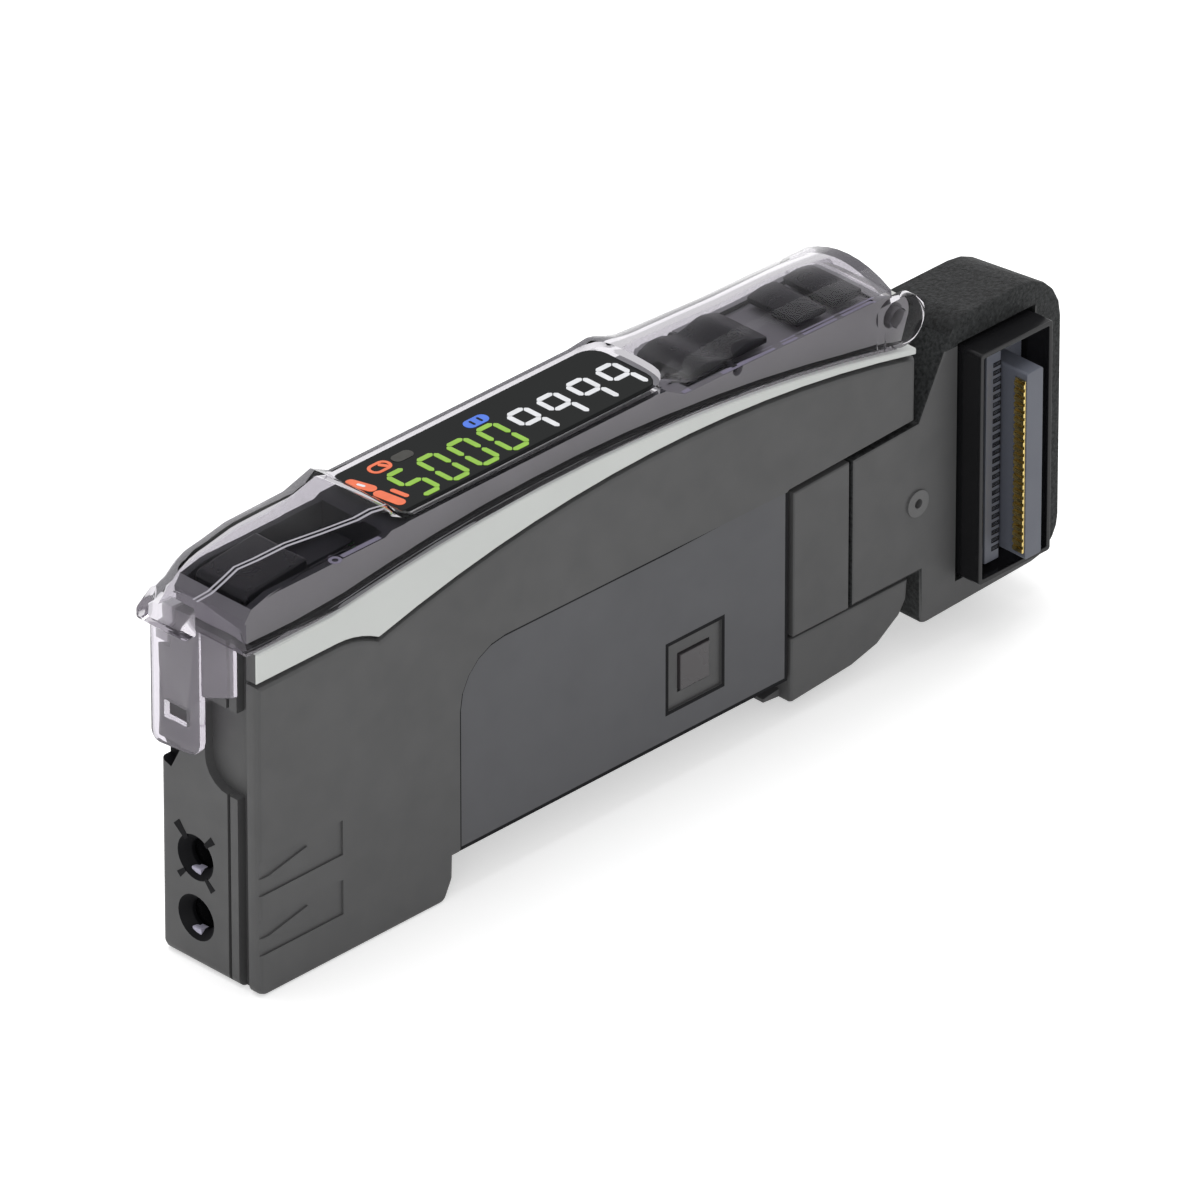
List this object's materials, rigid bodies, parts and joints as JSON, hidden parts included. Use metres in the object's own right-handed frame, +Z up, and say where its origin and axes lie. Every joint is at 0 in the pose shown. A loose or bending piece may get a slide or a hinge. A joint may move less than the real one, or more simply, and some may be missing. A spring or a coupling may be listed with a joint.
{
  "type": "fibre optic sensor amplifier",
  "caption": "Slim rail-mounted fibre optic sensor amplifier with a clear hinged cover over its display and keys, fibre holes in front and a side bus connector.",
  "frame": {"origin": "middle of the bounding box, at its bottom, which is under the front block", "axes": "+X runs from the fibre face to the rear connector block, -Y is the side with the connector plug, +Z is up"},
  "size_m": [0.0849, 0.0136, 0.0345],
  "materials": {
    "case": "fine satin, dark grey",
    "strip": "satin, pale grey",
    "clear": "clear, lightly smoked",
    "deck": "satin, mid grey",
    "key": "satin, near black",
    "black": "glossy black",
    "slate": "satin, blue grey",
    "gold": "gold plated",
    "steel": "tinned",
    "board": "green solder mask",
    "lens": "dark red, clear to infrared"
  },
  "bodies": {
    "case": {"housing": "case", "side_cover": "case", "side_stripe_near": "strip", "side_stripe_far": "strip", "guide_plate_near": "case", "guide_plate_far": "case", "comms_window_near": "lens", "comms_window_far": "lens", "top_deck": "deck", "display_window": "black", "display_module": "black", "rear_block": "case", "bus_shroud": "black", "bus_plug": "slate", "bus_contacts": "gold", "bus_board": "board", "bus_socket": "slate", "link_header": "slate", "slider_spring": "steel", "fibre_guide": "black", "optics_holder": "black", "emitter_led": "lens", "receiver_diode": "lens", "optics_board": "board", "main_board": "board", "processor_chip": "black", "amplifier_chip": "black", "shield_can": "steel", "link_emitter": "lens", "link_receiver": "lens", "display_board": "board", "tact_switch_1": "steel", "tact_switch_2": "steel", "tact_switch_3": "steel", "tact_switch_4": "steel"},
    "cover": {"protective_cover": "clear"},
    "lock": {"lock_knob": "key"},
    "clamp": {"fibre_clamp": "steel"},
    "rocker": {"rocker_key": "key"},
    "key_front": {"front_key": "key"},
    "key_rear": {"rear_key": "key"},
    "slider": {"din_slider": "case"}
  },
  "joints": [
    {"name": "cover_hinge", "type": "hinge", "parent": "case", "child": "cover", "pos_m": [0.02585, 0.00175, 0.0291], "axis": [0, 1, 0], "range_deg": [0, 120]},
    {"name": "lock_slide", "type": "slide", "parent": "case", "child": "lock", "axis": [1, 0, 0], "range_m": [0, 0.002]},
    {"name": "clamp_lift", "type": "slide", "parent": "case", "child": "clamp", "axis": [0, 0, 1], "range_m": [0, 0.0006]},
    {"name": "rocker_tilt", "type": "hinge", "parent": "case", "child": "rocker", "pos_m": [0.00985, 0.00175, 0.0311], "axis": [0, 1, 0], "range_deg": [-5, 5], "stiffness_Nm_per_rad": 0.02},
    {"name": "front_key_press", "type": "slide", "parent": "case", "child": "key_front", "axis": [0, 0, -1], "range_m": [0, 0.00025], "stiffness_N_per_m": 2000},
    {"name": "rear_key_press", "type": "slide", "parent": "case", "child": "key_rear", "axis": [0, 0, -1], "range_m": [0, 0.00025], "stiffness_N_per_m": 2000},
    {"name": "slider_pull", "type": "slide", "parent": "case", "child": "slider", "axis": [1, 0, 0], "range_m": [0, 0.0006], "stiffness_N_per_m": 3000, "deforming": ["slider_spring"]}
  ],
  "couplings": [
    {"joint": "clamp_lift", "follows": "lock_slide", "ratio": 0.3}
  ]
}
